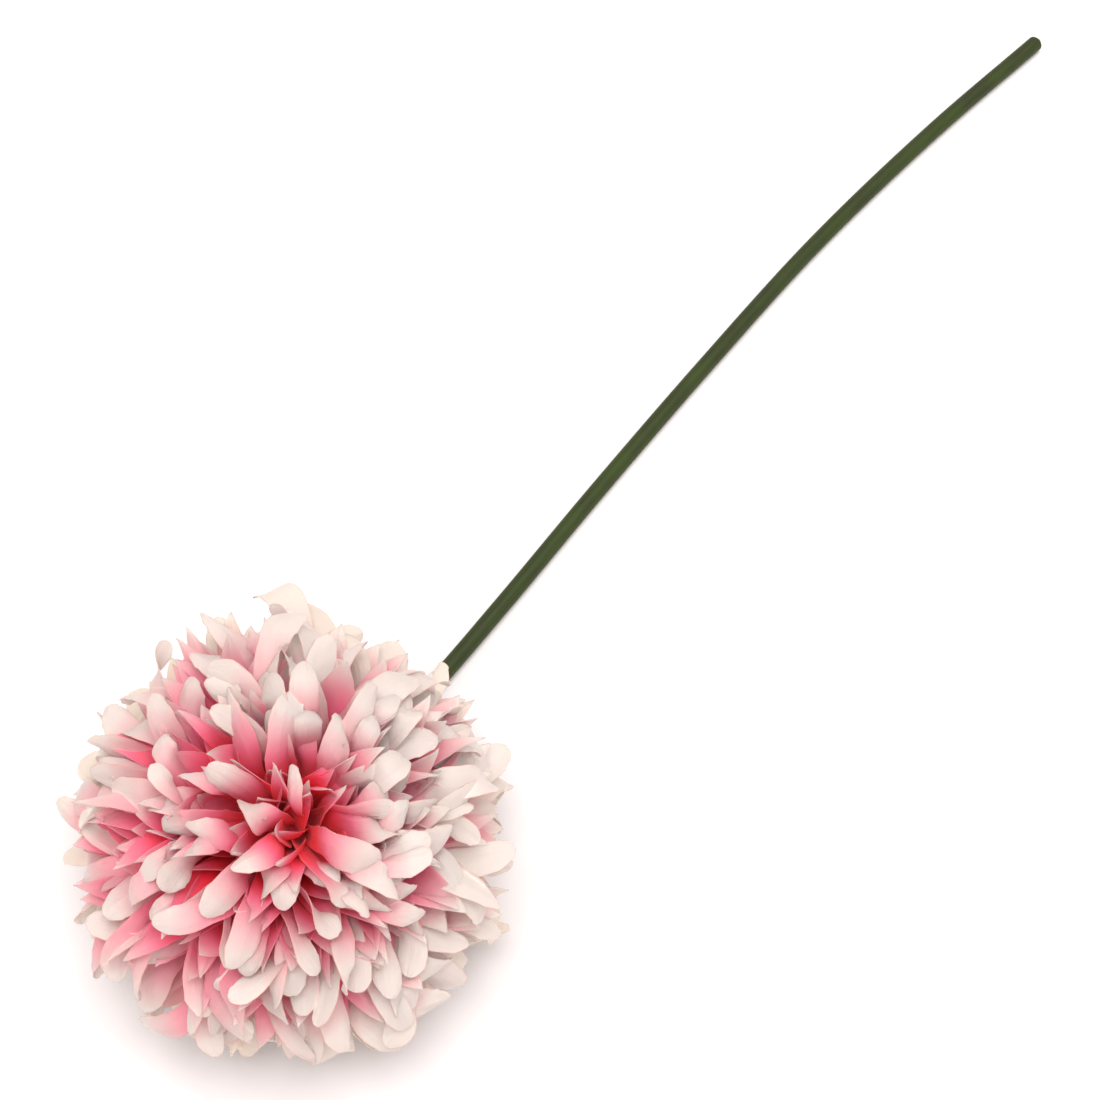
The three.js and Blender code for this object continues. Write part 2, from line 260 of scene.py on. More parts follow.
def midrib_directions(plan, axes):
    """The direction of each step, before the table is felt."""
    t = (np.arange(MIDRIB_STEPS) + 0.5) / MIDRIB_STEPS
    hooked = np.clip((t - plan["hook_start"]) / (1 - plan["hook_start"]), 0, 1)
    hooked = hooked * hooked * (3 - 2 * hooked)  # starts and ends softly
    bend = np.radians(plan["lean"] * t + plan["hook"] * hooked)
    swing = np.radians(plan["side"] * t * t)
    out, back, sideways = axes
    return (
        np.outer(np.cos(swing) * np.cos(bend), out)
        + np.outer(np.cos(swing) * np.sin(bend), back)
        + np.outer(np.sin(swing), sideways)
    )


def midrib(plan, axes):
    """Points along the midrib. The farthest of them is as far out as the plan's reach."""
    directions = midrib_directions(plan, axes)
    chords = np.linalg.norm(np.cumsum(directions, axis=0), axis=1) / MIDRIB_STEPS
    stride = (plan["reach"] - PETAL_ROOT) / chords.max() / MIDRIB_STEPS
    point = MIDDLE + PETAL_ROOT * axes[0]
    points = [point]
    for direction in directions:
        if direction[2] < 0:
            fall = math.sqrt(min(1, max(0, point[2] / TOUCH_DOWN)))
            direction = direction * (1, 1, fall)
        point = point + direction / np.linalg.norm(direction) * stride
        points.append(point)
    return np.array(points)


tips = np.array([midrib(plan, petal_axes(plan))[-1] for plan in plans])
print("midribs end between, mm:", tips.min(axis=0).round(), "and", tips.max(axis=0).round())

# %% [markdown]
# ## Cutting the petals
#
# An operator works on everything that is selected, and loading the frame leaves its pieces
# selected. So each new piece starts with nothing selected. By hand, the parts of a mesh are
# then picked with the mouse. In code they are picked by a test on their place.

# %% Helpers: select nothing, and pick by place
SELECT_MODES = {"verts": "VERT", "edges": "EDGE", "faces": "FACE"}


def nothing_selected():
    """Leaves edit mode and clears the selection."""
    if bpy.context.object and bpy.context.object.mode != "OBJECT":
        bpy.ops.object.mode_set(mode="OBJECT")
    bpy.ops.object.select_all(action="DESELECT")


def pick(piece, what, test):
    """In edit mode, selects only the verts, edges or faces that pass the test."""
    bpy.ops.mesh.select_mode(type=SELECT_MODES[what])
    mesh = bmesh.from_edit_mesh(piece.data)
    for element in (*mesh.verts, *mesh.edges, *mesh.faces):
        element.select_set(False)
    for element in getattr(mesh, what):
        if test(element):
            element.select_set(True)
    mesh.select_flush_mode()
    bmesh.update_edit_mesh(piece.data)


nothing_selected()
print("selected:", len(bpy.context.selected_objects))

# %% [markdown]
# The outline of a die could be traced with a curve, but a formula for half its width gives
# both cuts. A petal widens slowly from its root. From `narrows_from` it closes in, to a round
# end when `pointedness` is 0.5 and to a point when it is 1.

# %% Outline of the dies
BASE_WIDTH = 0.3
WIDENING = 1.8


def half_width(kind, t):
    """Half of a petal's width at t, as a part of half its full width."""
    widened = BASE_WIDTH + (1 - BASE_WIDTH) * min(1, t / kind["widest_at"]) ** WIDENING
    closing = max(0, (t - kind["narrows_from"]) / (1 - kind["narrows_from"]))
    return widened * max(0, 1 - closing ** 2) ** kind["pointedness"]


print("near its end a spoon keeps", round(half_width(SPOON, 0.9), 2), "and a blade",
      round(half_width(BLADE, 0.9), 2), "of its width")

# %% [markdown]
# Fabric petals are punched from a sheet with a die for each cut. So each cut is modelled
# once, flat, from a grid of a few dozen faces. Its rows are drawn in, one by one, to the
# width of the die. They stand closer together towards the end, where the outline turns
# fastest, so the end looks round without a subdivision that six hundred copies would carry.
# The vertices of the long edges are jittered, because punched fabric frays into teeth. The
# grid's UV map keeps the place across and along the petal, for the dye to follow.

# %% Two flat cuts
ROOT_STATION = 0.14  # where the fabric starts on the midrib, as a part of its length
TIP_STATION = 0.998
FRAYED_FROM = 0.35
EDGE_FROM = 0.9  # vertices beyond this part of half the width are on the edge
ROW_PICKED = 0.1  # how far from a row a vertex may be, as a part of the way to the next
ASIDE = 10.0  # rows that are done are kept this far away, so that no row is picked twice


def flat_cut(name, kind, columns, rows, fray, seed):
    """A flat petal that is 1 wide along X and 1 long along Y, with a frayed edge."""
    nothing_selected()
    bpy.ops.mesh.primitive_grid_add(x_subdivisions=columns, y_subdivisions=rows, size=1)
    cut = bpy.context.object
    cut.name = name
    cut.data.uv_layers[0].name = "cut"
    bpy.ops.object.mode_set(mode="EDIT")
    for row in range(rows + 1):
        y = row / rows - 0.5
        station = ROOT_STATION + (TIP_STATION - ROOT_STATION) * math.sin((y + 0.5) * math.pi / 2)
        pick(cut, "verts", lambda vertex: abs(vertex.co.y - y) < ROW_PICKED / rows)
        bpy.ops.transform.resize(value=(half_width(kind, station), 1, 1), center_override=(0, y, 0))
        bpy.ops.transform.translate(value=(0, ASIDE + station - y, 0))
    bpy.ops.mesh.select_all(action="SELECT")
    bpy.ops.transform.translate(value=(0, -ASIDE, 0))
    bpy.ops.object.mode_set(mode="OBJECT")
    draw = seeded_draws(seed)
    for vertex in cut.data.vertices:
        edge = half_width(kind, vertex.co.y) / 2
        if abs(vertex.co.x) > EDGE_FROM * edge and vertex.co.y > FRAYED_FROM:
            vertex.co.x *= 1 + fray * (2 * next(draw) - 1)
    return cut


spoon_cut = flat_cut("spoon_cut", SPOON, columns=3, rows=26, fray=0.07, seed=5)
blade_cut = flat_cut("blade_cut", BLADE, columns=3, rows=16, fray=0.02, seed=6)
print("faces in a cut:", len(spoon_cut.data.polygons), "and", len(blade_cut.data.polygons))

# %% [markdown]
# ## Laying the petals
#
# Every petal is a copy of one of the cuts, with its own mesh, bent along its midrib. A Curve
# modifier could do that, but it can't turn the petal level where it meets the table. So at
# each height of the cut this works out the place on the midrib, the way across the petal and
# the way to its front. The way across twists along the petal and flattens on the table.

# %% Directions along a midrib
def unit(vectors):
    return vectors / np.linalg.norm(vectors, axis=1)[:, None]


def read_along(values, t):
    """Values that are given at even steps of the midrib, read at each t."""
    stations = np.linspace(0, 1, len(values))
    return np.stack([np.interp(t, stations, column) for column in values.T], axis=1)


def midrib_frames(plan, t):
    """The place on the midrib, and the ways to the side and to the front, at each t."""
    axes = petal_axes(plan)
    rib = midrib(plan, axes)
    place = read_along(rib, t)
    along = unit(read_along(np.gradient(rib, axis=0), t))
    side = unit(axes[2] - along * (along @ axes[2])[:, None])
    twist = np.radians(plan["twist"]) * t * t
    side = side * np.cos(twist)[:, None] + np.cross(along, side) * np.sin(twist)[:, None]
    side[:, 2] *= np.clip(place[:, 2] / TOUCH_DOWN, 0, 1)
    side = unit(side)
    return place, side, unit(np.cross(along, side))


tip_front = midrib_frames(plans[0], np.array([1.0]))[2]
print("the front of the first petal's tip faces", tip_front[0].round(2))

# %% [markdown]
# The fabric is pressed in a mould: a spoon starts as a channel and then rolls its edges
# back, and a blade keeps a shallow fold. The long edges wave a little, as all thin fabric
# does. A Displace modifier could fold a petal by a texture or by weights, but each fold would
# need its own. Two short formulas do the same for all petals. In them `u` is -1 on one edge
# and 1 on the other.

# %% Fold and ripple of the fabric
CHANNEL = 0.45  # how far a spoon's edges come forward, as a part of half its width
ROLLED_BACK = -0.2
ROLLED_BACK_SWING = 0.28
ROLLS_FROM, ROLLS_OVER = 0.34, 0.3
BLADE_FOLD = 0.5
BLADE_FLATTENS = 0.3
RIPPLE = 0.7  # how far the edges wave to the front and the back
RIPPLES_FROM = 0.3
RIPPLE_ALONG, RIPPLE_SIDES, RIPPLE_CHANCE = 17, 3, 40  # parts of the wave's angle, in radians


def fabric_fold(plan, t):
    """How much the edges come forward of the midrib, as a part of half the width."""
    if plan["kind"] is SPOON:
        end = ROLLED_BACK + ROLLED_BACK_SWING * plan["chance"]
        return CHANNEL + (end - CHANNEL) * np.clip((t - ROLLS_FROM) / ROLLS_OVER, 0, 1)
    return BLADE_FOLD - BLADE_FLATTENS * t


def ripple(plan, t, u):
    """How far the wave moves a point to the front."""
    angle = RIPPLE_ALONG * t + RIPPLE_SIDES * np.sign(u) + RIPPLE_CHANCE * plan["chance"]
    return RIPPLE * u * u * np.clip(t - RIPPLES_FROM, 0, 1) * np.sin(angle)


print("first petal's fold from", fabric_fold(plans[0], 0.0), "to", round(fabric_fold(plans[0], 1.0), 2))

# %% [markdown]
# Now a petal can be laid: each point of the flat cut goes to its place on the midrib, then
# out to the side by its width, and then to the front by its fold. Fabric that is folded
# is also narrower, and none of it may sink into the table.

# %% Laying one petal
FABRIC = 0.28  # thickness
FOLD_LEVEL = 0.3  # the part of a fold that is taken off, so that the midrib stays in place
FOLD_DRAWS_IN = 0.12
NARROWEST = 0.3  # half a width, so that the very tip has a u too


def laid_points(plan, flat):
    """Where the points of a flat cut come to lie."""
    t = flat[:, 1]
    across = flat[:, 0] * plan["width"]
    place, side, front = midrib_frames(plan, t)
    half = plan["width"] / 2 * np.array([half_width(plan["kind"], station) for station in t])
    u = across / np.maximum(half, NARROWEST)
    fold = fabric_fold(plan, t)
    forward = fold * half * (u * u - FOLD_LEVEL) + ripple(plan, t, u)
    inward = 1 - FOLD_DRAWS_IN * np.abs(fold) * u * u
    laid = place + side * (across * inward)[:, None] + front * forward[:, None]
    laid[:, 2] = np.maximum(laid[:, 2], FABRIC / 2)
    return laid


def cut_points(cut):
    points = np.empty(3 * len(cut.data.vertices))
    cut.data.vertices.foreach_get("co", points)
    return points.reshape(-1, 3)


def lay_petal(plan, cut, name):
    """A copy of the cut with its own mesh, laid as planned."""
    piece = bpy.data.objects.new(name, cut.data.copy())
    bpy.context.collection.objects.link(piece)
    laid = laid_points(plan, cut_points(cut))
    piece.data.vertices.foreach_set("co", (laid * MM).ravel())
    return piece


last_petal = laid_points(plans[-1], cut_points(spoon_cut))
print("last petal's lowest point, mm:", last_petal[:, 2].min().round(2))

# %% [markdown]
# The petals of one flower are never dyed alike. Those on the stem's side and behind are
# faded to cream, and those in the middle change colour more sharply, which also paints shade
# into the deep gaps there. This could be painted on a texture, but a few numbers on each petal,
# kept as attributes of its mesh, are enough for one material to dye them all.

# %% What the dye needs to know of a petal
CREAM_HEADING = -35.0  # degrees round from the stem, where the petals are palest
LEAST_FADED = 0.08
FADED_TOWARDS_CREAM, FADED_BEHIND, FADED_CHANCE = 0.8, 0.6, 0.2
FADES_UP_TO = 50.0  # tips further round than this fade in full
BEHIND_FROM, BEHIND_OVER = 84.0, 26.0


def clamped(value):
    return min(1.0, max(0.0, value))


def dye_marks(plan):
    """How faded the petal is, if it is a spoon, its luck, and if it is in the middle or behind."""
    behind = clamped((plan["tip_polar"] - BEHIND_FROM) / BEHIND_OVER)
    towards = 0.5 + 0.5 * math.cos(math.radians(plan["turn"] - CREAM_HEADING))
    outer = min(1.0, plan["tip_polar"] / FADES_UP_TO)
    faded = LEAST_FADED + FADED_TOWARDS_CREAM * towards * outer
    return dict(
        faded=clamped(faded + FADED_BEHIND * behind + FADED_CHANCE * plan["chance"]),
        spoon=float(plan["kind"] is SPOON),
        luck=0.5 + 0.5 * plan["chance"],
        middle=closeness(plan["tip_polar"]),
        rear=behind,
    )


def mark(piece, marks):
    """Keeps each number on the whole piece, as an attribute of its mesh."""
    for name, value in marks.items():
        attribute = piece.data.attributes.new(name, "FLOAT", "POINT")
        attribute.data.foreach_set("value", np.full(len(piece.data.vertices), value))


print("first petal:", {name: round(value, 2) for name, value in dye_marks(plans[0]).items()})

# %% [markdown]
# Between the petals of the rule there are shorter ones that close the gaps, so that no light
# falls through to the heart. They follow the same rule with draws of their own. Their blades
# are broader and lie flatter, because they show as the pink ground behind the spoons.

# %% Petals between the others
FILLERS = 330
FILLER_SEED = 1013
FILLER_LAST = 0.8  # of all the rule's petals, counted from the middle of the face
FILLER_TURN = 68.0
FILLER_REACH = 0.96
FILLER_BLADE = dict(twist=0.35, side=0.6, width=1.22)  # parts of what the rule says


def filler_plans():
    draw = seeded_draws(FILLER_SEED)
    for index in range(FILLERS):
        plan = plan_petal(FILLER_LAST * (index + 0.5) / FILLERS, index, draw)
        plan["turn"] += FILLER_TURN
        plan["reach"] *= FILLER_REACH
        if plan["kind"] is BLADE:
            for name, ratio in FILLER_BLADE.items():
                plan[name] *= ratio
        yield plan


fillers = list(filler_plans())
print("petals between:", len(fillers))

# %% [markdown]
# The youngest petals crowd the middle of the face. They are narrow, they stand nearly
# straight, and the ends of the spoons fold right over. The rule spreads its petals too
# evenly for that, so these are set closer and two of every five are made spoons.

# %% Petals that cap the middle
CAPS = 70
CAP_SEED = 9
CAP_NEAREST, CAP_FARTHEST = 3.0, 42.0
CAP_TURN = 40.0
CAP_SPOON = dict(kind=SPOON, reach=0.9, hook=100.0)
CAP_BLADE = dict(kind=BLADE, reach=0.88, hook=15.0)
CAP_SPOONS_IN_FIVE = 2
CAP_REACH_OUTWARD, CAP_REACH_CHANCE = 0.08, 0.09  # CHANCE is the most that a draw may change
CAP_LEAN = 5.0
CAP_HOOK_START, CAP_HOOK_DELAY = 0.7, 0.09
CAP_HOOK_CHANCE = 60.0
CAP_SIDE_SWING = 50.0
CAP_TWIST_SWING = 80.0
CAP_WIDTH, CAP_WIDTH_CHANCE = 7.6, 2.0


def cap_plans():
    draw = seeded_draws(CAP_SEED)
    for index in range(CAPS):
        plan = plan_petal(0.0, index, draw)
        outward = math.sqrt((index + 0.5) / CAPS)
        polar = CAP_NEAREST + (CAP_FARTHEST - CAP_NEAREST) * outward
        cap = CAP_SPOON if index % 5 < CAP_SPOONS_IN_FIVE else CAP_BLADE
        reach = cap["reach"] + CAP_REACH_OUTWARD * outward - CAP_REACH_CHANCE * next(draw)
        plan.update(
            kind=cap["kind"],
            polar=polar,
            tip_polar=polar,
            turn=plan["turn"] + CAP_TURN,
            reach=BLOOM_RADIUS * reach,
            lean=CAP_LEAN,
            hook_start=CAP_HOOK_START + CAP_HOOK_DELAY * next(draw),
            hook=cap["hook"] + CAP_HOOK_CHANCE * next(draw),
            side=CAP_SIDE_SWING * (2 * next(draw) - 1),
            twist=CAP_TWIST_SWING * (2 * next(draw) - 1),
            width=CAP_WIDTH + CAP_WIDTH_CHANCE * next(draw),
        )
        yield plan


caps = list(cap_plans())
print("caps:", len(caps))

# %% [markdown]
# A modifier can stay live on its piece. Here it is applied as soon as it is set, so that the
# mesh that is seen is the mesh that is kept. The operator that applies it works on the
# active piece, so the piece is first made the active one.

# %% Helpers: one active piece, and a modifier applied
def only(piece):
    nothing_selected()
    piece.select_set(True)
    bpy.context.view_layer.objects.active = piece


def modified(piece, kind, **settings):
    only(piece)
    modifier = piece.modifiers.new(kind.title(), kind)
    for name, value in settings.items():
        setattr(modifier, name, value)
    bpy.ops.object.modifier_apply(modifier=modifier.name)


def triangles(piece):
    piece.data.calc_loop_triangles()
    return len(piece.data.loop_triangles)


print("triangles in a flat cut:", triangles(spoon_cut), "and", triangles(blade_cut))

# %% [markdown]
# Six hundred loose objects would be slow to handle, so the petals are joined in a few
# groups. Only then does each group get the thickness of the fabric, from one Solidify
# modifier, and smooth shading that keeps the cut edges crisp. At the end the two flat cuts
# have done their work and are removed.

# %% All petals, in groups
FACE_ENDS, FRONT_ENDS, SIDE_ENDS = 70, 130, 180  # counted from the middle of the face


def petal_group(name, members):
    """Lays and marks some petals, joins them and makes them as thick as the fabric."""
    laid = []
    for index, plan in enumerate(members):
        cut = spoon_cut if plan["kind"] is SPOON else blade_cut
        petal = lay_petal(plan, cut, f"{name}_{index}")
        mark(petal, dye_marks(plan))
        laid.append(petal)
    nothing_selected()
    for petal in laid:
        petal.select_set(True)
    bpy.context.view_layer.objects.active = laid[0]
    bpy.ops.object.join()
    group = bpy.context.object
    group.name = name
    modified(group, "SOLIDIFY", thickness=FABRIC * MM, offset=0)
    bpy.ops.object.shade_smooth_by_angle(angle=math.radians(50))
    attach(group, "root")
    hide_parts("bloom")
    print(name, "has", len(laid), "petals and", triangles(group), "triangles")
    return group


groups = [
    petal_group("petals_face", plans[:FACE_ENDS]),
    petal_group("petals_front", plans[FACE_ENDS:FRONT_ENDS]),
    petal_group("petals_side", plans[FRONT_ENDS:SIDE_ENDS]),
    petal_group("petals_rear", plans[SIDE_ENDS:]),
    petal_group("petals_between_face", fillers[:FILLERS // 2]),
    petal_group("petals_between_side", fillers[FILLERS // 2:]),
    petal_group("petals_caps", caps),
]
for cut in (spoon_cut, blade_cut):
    bpy.data.objects.remove(cut)

# %% [markdown]
# ## The dye and the cloth
#
# Materials are written as sums. `Wire` wraps one output socket, and adding or multiplying
# wires adds Math nodes, so a pattern reads like a formula. `1 - mask` works too, through the
# reflected forms. Without this, each sum would be two or three lines of node plumbing.

# %% Helper: sockets that can be added and multiplied
class Wire:
    def __init__(self, nodes, socket):
        self.nodes = nodes
        self.socket = socket

    def maths(self, operation, *values):
        return self.nodes.node("ShaderNodeMath", {"operation": operation}, dict(enumerate(values)))

    def __add__(self, other):
        return self.maths("ADD", self, other)

    def __sub__(self, other):
        return self.maths("SUBTRACT", self, other)

    def __rsub__(self, other):
        return self.maths("SUBTRACT", other, self)

    def __mul__(self, other):
        return self.maths("MULTIPLY", self, other)

    def __abs__(self):
        return self.maths("ABSOLUTE", self)

    __radd__ = __add__
    __rmul__ = __mul__

    def rising(self, low, high):
        """0 below low, 1 above high, with a soft step between them."""
        inputs = {"Value": self, "From Min": low, "From Max": high}
        return self.nodes.node("ShaderNodeMapRange", {"interpolation_type": "SMOOTHSTEP"}, inputs)


print("reflected forms:", [name for name in vars(Wire) if name.startswith("__r")])

# %% [markdown]
# `Nodes` is a node tree to add to, of a material or of the world. Its method `node` makes
# any node: the settings first, then the sockets, each with a value or with another wire.

# %% Helper: a node tree to add to
def set_stops(stops, values):
    """Gives a colour ramp its stops, each a place and a colour."""
    while len(stops) < len(values):
        stops.new(1.0)
    for stop, (place, shade) in zip(stops, values):
        stop.position = place
        stop.color = shade


class Nodes:
    def __init__(self, tree):
        self.tree = tree

    def node(self, kind, settings=None, inputs=None, out=0):
        """Adds a node and gives a wire from one of its outputs."""
        made = self.tree.nodes.new(kind)
        for name, value in (settings or {}).items():
            if name == "stops":
                set_stops(made.color_ramp.elements, value)
            else:
                setattr(made, name, value)
        for name, value in (inputs or {}).items():
            self.feed(made.inputs[name], value)
        return Wire(self, made.outputs[out])

    def feed(self, socket, value):
        if isinstance(value, Wire):
            self.tree.links.new(value.socket, socket)
        else:
            socket.default_value = value


def color(text):
    """A colour such as 'e5688a' as linear values, by the formula of the sRGB standard."""
    values = [int(text[start:start + 2], 16) / 255 for start in (0, 2, 4)]
    linear = [v / 12.92 if v <= 0.04045 else ((v + 0.055) / 1.055) ** 2.4 for v in values]
    return (*linear, 1.0)


print("half-bright grey in linear light:", round(color("808080")[0], 3))

# %% [markdown]
# `Finish` is a material under construction. Clouds, mixed colours and bumps are used by
# nearly every finish, so they have short methods. The first finish is the petals' fabric.

# %% Helper: a material under construction
OBJECT_OUTPUT = 3  # of a Texture Coordinate node
NUMBER_OUTPUT = 2  # of an Attribute node
MIX_FACTOR, MIX_FIRST, MIX_SECOND, MIX_RESULT = 0, 6, 7, 2  # a Mix node's colour sockets


class Finish(Nodes):
    def __init__(self, name):
        self.material = bpy.data.materials.new(name)
        self.material.use_nodes = True
        super().__init__(self.material.node_tree)
        self.shader = self.tree.nodes["Principled BSDF"]

    def set(self, **inputs):
        """Sets the shader's sockets, such as base_color for Base Color."""
        for name, value in inputs.items():
            self.feed(self.shader.inputs[name.replace("_", " ").title()], value)

    def mix(self, share, first, second):
        """Mixes two colours."""
        inputs = {MIX_FACTOR: share, MIX_FIRST: first, MIX_SECOND: second}
        return self.node("ShaderNodeMix", {"data_type": "RGBA"}, inputs, out=MIX_RESULT)

    def attribute(self, name):
        """A number that each petal carries."""
        return self.node("ShaderNodeAttribute", {"attribute_name": name}, out=NUMBER_OUTPUT)

    def place(self):
        """The place on the piece, in metres."""
        return self.node("ShaderNodeTexCoord", out=OBJECT_OUTPUT)

    def noise(self, scale, where, detail=2.0):
        """Soft random clouds from 0 to 1. The scale is in clouds to the metre."""
        return self.node("ShaderNodeTexNoise", {}, {"Vector": where, "Scale": scale, "Detail": detail})

    def bump(self, height, distance):
        """Lets the light see a relief. The distance is in millimetres."""
        inputs = {"Height": height, "Distance": distance * MM}
        self.feed(self.shader.inputs["Normal"], self.node("ShaderNodeBump", {}, inputs))


fabric = Finish("petal_fabric")
print("nodes of a new finish:", len(fabric.tree.nodes))

# %% [markdown]
# The petals are dipped: crimson at the root, then pink, and pale at the tip. `lifted` is how
# far a point was held out of the dye: it grows along the petal, more on spoons and on faded
# petals, and it grows faster in the middle of the bloom, where the low part of a petal stays
# crimson longer, partly as painted shade for the deep gaps between the crowded petals. A ramp
# turns it into a colour. A paler, peachy line along the punched edge is a painted highlight,
# where the cut edge catches the light. The back petals are mixed towards beige. A gradient
# texture would paint all petals alike, so the ramp reads the petals' UV maps and marks.

# %% Petal fabric: the dye
ALL_DIPPED = 0.09
SPOON_LIFT = 0.24
FADED_LIFT, FADED_SPOON_LIFT = 0.28, 0.1
BLOTCHES, BLOTCH_LIFT = 70, 0.2  # the first is in clouds to the metre
# In the middle of the bloom the low part of a petal stays crimson longer: partly painted shade for the
# crowded gaps.
MIDDLE_SHARPENS_AND_SHADES, MIDDLE_HALFWAY = 1.3, 0.7
LIFT_TO_RAMP = 0.8
# The edge line is a painted highlight: paler and peachy where the cut edge catches the light.
EDGE_STARTS = 0.93
RIM_HIGHLIGHT, RIM_HIGHLIGHT_SPOON = 0.15, 0.3
REAR_BEIGE = 0.7

cut_place = fabric.node("ShaderNodeUVMap", {"uv_map": "cut"})
across = fabric.node("ShaderNodeSeparateXYZ", {}, {"Vector": cut_place}, out=0)
along = fabric.node("ShaderNodeSeparateXYZ", {}, {"Vector": cut_place}, out=1)
faded = fabric.attribute("faded")
spoon = fabric.attribute("spoon")
luck = fabric.attribute("luck")
middle = fabric.attribute("middle")
rear = fabric.attribute("rear")

blotch = fabric.noise(BLOTCHES, fabric.place(), detail=3)
lifted = along + faded * (FADED_SPOON_LIFT * spoon + FADED_LIFT) + SPOON_LIFT * spoon
lifted = lifted + BLOTCH_LIFT * (blotch - 0.5) - ALL_DIPPED
# Partly painted shade: in the middle of the bloom the low part of each petal stays crimson longer,
# darkening the deep gaps between the crowded petals.
lifted = lifted + MIDDLE_SHARPENS_AND_SHADES * middle * (along - MIDDLE_HALFWAY)
dipped = fabric.node("ShaderNodeValToRGB", {"stops": [
    (0.16, color("f42c42")),  # crimson
    (0.29, color("ef516a")),
    (0.41, color("e7708b")),  # pink
    (0.53, color("df939f")),
    (0.65, color("d8b6b5")),  # blush
    (0.77, color("d5cec7")),  # undyed
]}, {"Fac": lifted * LIFT_TO_RAMP})
# Painted highlight: a paler, peachy line along the cut edges, where the edge catches the light.
edge = (abs(across - 0.5) * 2).rising(EDGE_STARTS, 1.0)
rim_highlight_color = fabric.mix(spoon, color("f0c0ca"), color("e8a898"))
rim_highlighted = fabric.mix(edge * (RIM_HIGHLIGHT + RIM_HIGHLIGHT_SPOON * spoon), dipped, rim_highlight_color)
# The back petals are mixed towards beige.
fabric.set(base_color=fabric.mix(rear * REAR_BEIGE, rim_highlighted, color("ded2bd")))
print("nodes of the dye:", len(fabric.tree.nodes))

# %% [markdown]
# The cloth itself is a thin satin. Fine creases from the mould run along it, each petal's
# luck shifts them, and the weave is only just felt. Light that passes through thin cloth
# could be a translucent shader, but that darkens the gaps between crowded petals. A little
# subsurface light keeps them glowing, with the same radius for all three colours, because
# unequal ones would turn the whites blue-green.

# %% Petal fabric: the cloth
CREASES_ACROSS, CREASES_ALONG = 3.5, 1.8
LUCK_ACROSS, LUCK_ASIDE = 37, 11  # how far a petal's luck shifts its creases
WEAVE, WEAVE_HEIGHT = 2200, 0.12
CREASE_HEIGHT = 0.6
LIGHT_DEPTH = 2.0


def dressed(piece, finish):
    """Puts a finish on a piece, in place of any material that it came with."""
    piece.data.materials.clear()
    piece.data.materials.append(finish.material)
    print(piece.name, "is dressed in", finish.material.name)


crease_place = fabric.node("ShaderNodeCombineXYZ", {}, {
    "X": across * CREASES_ACROSS + luck * LUCK_ACROSS,
    "Y": along * CREASES_ALONG,
    "Z": luck * LUCK_ASIDE,
})
creases = fabric.noise(1.0, crease_place, detail=4)
weave = fabric.noise(WEAVE, fabric.place(), detail=1)
fabric.bump(creases + weave * WEAVE_HEIGHT, CREASE_HEIGHT)
fabric.set(roughness=0.55, sheen_weight=0.1)
fabric.shader.subsurface_method = "BURLEY"
fabric.set(subsurface_weight=0.7, subsurface_scale=LIGHT_DEPTH * MM, subsurface_radius=(1, 1, 1))
for group in groups:
    dressed(group, fabric)

# %% [markdown]
# ## The heart
#
# A finished piece keeps its place in its mesh, with its object at the origin, unturned. So
# a piece that is modelled upright is turned and moved last, and then that is applied.

# %% Helpers: turn, move and settle
def settled(piece):
    """Puts the piece's place and turn in its mesh."""
    only(piece)
    bpy.ops.object.transform_apply(location=True, rotation=True, scale=True)
    return piece


def seated(piece, facing, place):
    """Turns the piece's Z to where it faces, moves it to its place and settles it."""
    piece.rotation_mode = "QUATERNION"
    piece.rotation_quaternion = Vector(facing).to_track_quat("Z", "Y")
    piece.location = place * MM
    return settled(piece)


print("the face is turned", round(math.degrees(math.acos(FACE[2]))), "degrees from upright")

# %% [markdown]
# Deep between the petals sits the heart that they are fixed to. It is a ball of felt, cut flat
# behind where the calyx is glued on. A sphere gives the ball, and bisect makes the flat
# cut and fills it. It hardly shows, so the felt is only a fuzzy bump in the petals' red.

# %% Heart
HEART_RADIUS = 30.0
HEART_BACK = 19.5
FUZZ = 900
FUZZ_HEIGHT = 0.6

nothing_selected()
bpy.ops.mesh.primitive_uv_sphere_add(segments=48, ring_count=24, radius=HEART_RADIUS * MM)
heart = bpy.context.object
heart.name = "heart"
bpy.ops.object.mode_set(mode="EDIT")
bpy.ops.mesh.select_all(action="SELECT")
bpy.ops.mesh.bisect(plane_co=(0, 0, -HEART_BACK * MM), plane_no=(0, 0, 1), use_fill=True, clear_inner=True)
bpy.ops.object.mode_set(mode="OBJECT")
seated(heart, FACE, MIDDLE)
bpy.ops.object.shade_smooth_by_angle(angle=math.radians(40))
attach(heart, "root")
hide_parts("bloom")

felt = Finish("heart_felt")
fuzz = felt.noise(FUZZ, felt.place())
felt.set(base_color=felt.mix(fuzz, color("e8304a"), color("f05a74")), roughness=0.95)
felt.bump(fuzz, FUZZ_HEIGHT)
dressed(heart, felt)
print("heart:", triangles(heart), "triangles")

# %% [markdown]
# ## The stem
#
# The stem is a steel wire in a sleeve of green plastic. Both follow one line: out of the
# bloom's back, round the bend of the neck, and along the table to the cut end. Listed points
# give the gentle wander on the table, and a circle gives the neck, because a wire
# that is bent over a thumb bends evenly.

# %% The line of the stem
STEM_RADIUS = 3.3
SOCKET_DEPTH = 10.0
NECK_START = 30.0
NECK_BEND_RADIUS = 17.0
NECK_BEND_STEPS = 6
NECK_SLOPE = math.radians(6)  # how much the neck still falls where its bend ends
UNDER_BLOOM = MIDDLE - (0, 0, BLOOM_HEIGHT)
STEM_LIES = [  # along, to the side, and the height off the table, from under the bloom
    (82, 10.7, 1.6), (126, 11.4, 0.4), (187, 13.1, 0), (259, 13.8, 0),
    (332, 12.8, 0), (406, 6.9, 0), (472, -1.8, 0),
]


